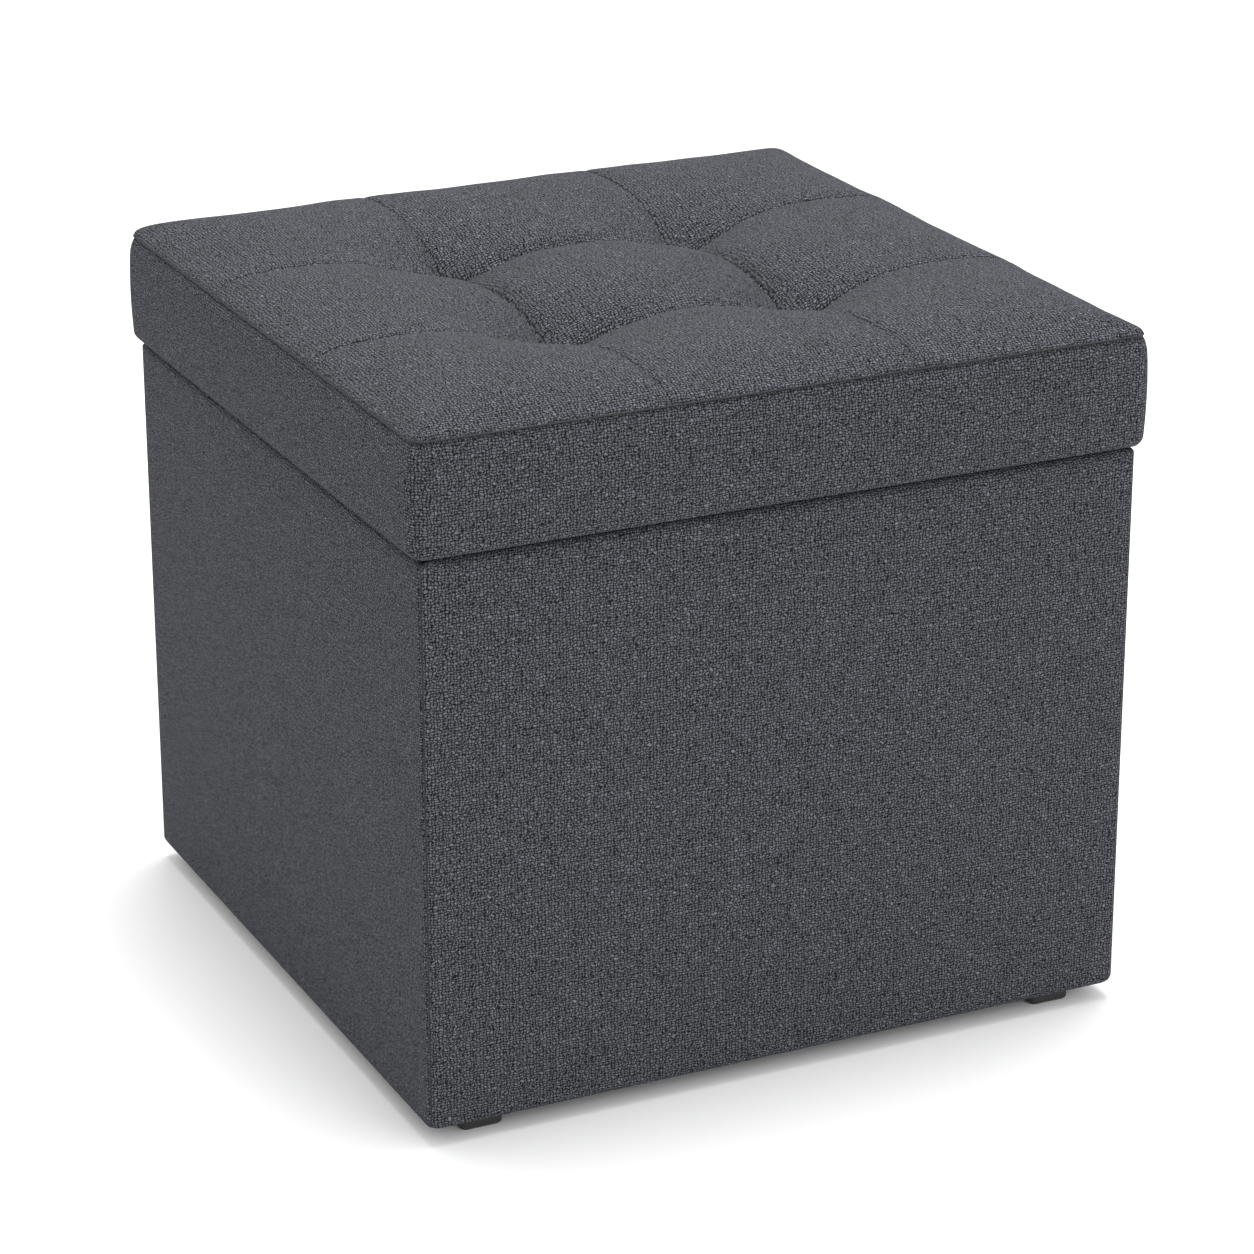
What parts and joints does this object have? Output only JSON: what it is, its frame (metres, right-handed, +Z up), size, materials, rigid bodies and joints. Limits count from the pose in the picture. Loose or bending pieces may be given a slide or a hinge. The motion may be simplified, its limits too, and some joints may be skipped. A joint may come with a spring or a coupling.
{
  "type": "storage ottoman",
  "caption": "Upholstered cube storage ottoman: fabric-covered board box on low plastic feet, with a tufted, padded lift-off lid that drops onto locating rails.",
  "frame": {"origin": "on the floor, under the middle of the ottoman", "axes": "+X to the right along the front, +Y from front to back, +Z up"},
  "size_m": [0.398, 0.398, 0.3749],
  "materials": {
    "linen_weave": "matt plain weave in dark slate grey, slightly slubbed",
    "nonwoven_cloth": "thin black spunbonded cloth",
    "fibreboard": "raw medium-density fibreboard",
    "pine": "planed, unfinished",
    "foam": "open-cell foam",
    "black_plastic": "moulded, fine grain",
    "zinc_screw": "bright zinc plate",
    "twine": "waxed twisted twine"
  },
  "bodies": {
    "box": {"corner_screw_back_left_high": "zinc_screw", "corner_screw_back_left_low": "zinc_screw", "corner_screw_back_right_high": "zinc_screw", "corner_screw_back_right_low": "zinc_screw", "corner_screw_front_left_high": "zinc_screw", "corner_screw_front_left_low": "zinc_screw", "corner_screw_front_right_high": "zinc_screw", "corner_screw_front_right_low": "zinc_screw", "cover_back": "linen_weave", "cover_front": "linen_weave", "cover_left": "linen_weave", "cover_right": "linen_weave", "dust_cloth": "nonwoven_cloth", "floor_board": "fibreboard", "floor_screw_back_left": "zinc_screw", "floor_screw_back_right": "zinc_screw", "floor_screw_front_left": "zinc_screw", "floor_screw_front_right": "zinc_screw", "floor_screw_left": "zinc_screw", "floor_screw_right": "zinc_screw", "foot_back_left": "black_plastic", "foot_back_right": "black_plastic", "foot_front_left": "black_plastic", "foot_front_right": "black_plastic", "foot_screw_back_left": "zinc_screw", "foot_screw_back_right": "zinc_screw", "foot_screw_front_left": "zinc_screw", "foot_screw_front_right": "zinc_screw", "lining_floor": "nonwoven_cloth", "lining_walls": "nonwoven_cloth", "wall_back": "fibreboard", "wall_front": "fibreboard", "wall_left": "fibreboard", "wall_right": "fibreboard"},
    "lid": {"lid_board": "fibreboard", "lid_under_cloth": "nonwoven_cloth", "locating_rail_back": "pine", "locating_rail_front": "pine", "locating_rail_left": "pine", "locating_rail_right": "pine", "rail_screw_back_left": "zinc_screw", "rail_screw_back_right": "zinc_screw", "rail_screw_front_left": "zinc_screw", "rail_screw_front_right": "zinc_screw", "rail_screw_left_back": "zinc_screw", "rail_screw_left_front": "zinc_screw", "rail_screw_right_back": "zinc_screw", "rail_screw_right_front": "zinc_screw", "seat_foam": "foam", "seat_side_band": "linen_weave", "seat_top_cover": "linen_weave", "tuft_cord_back_left": "twine", "tuft_cord_back_right": "twine", "tuft_cord_front_left": "twine", "tuft_cord_front_right": "twine", "tuft_washer_back_left": "black_plastic", "tuft_washer_back_right": "black_plastic", "tuft_washer_front_left": "black_plastic", "tuft_washer_front_right": "black_plastic"}
  },
  "joints": [
    {"name": "lid_lift", "type": "slide", "parent": "box", "child": "lid", "axis": [0, 0, 1], "range_m": [0, 0.3]}
  ]
}
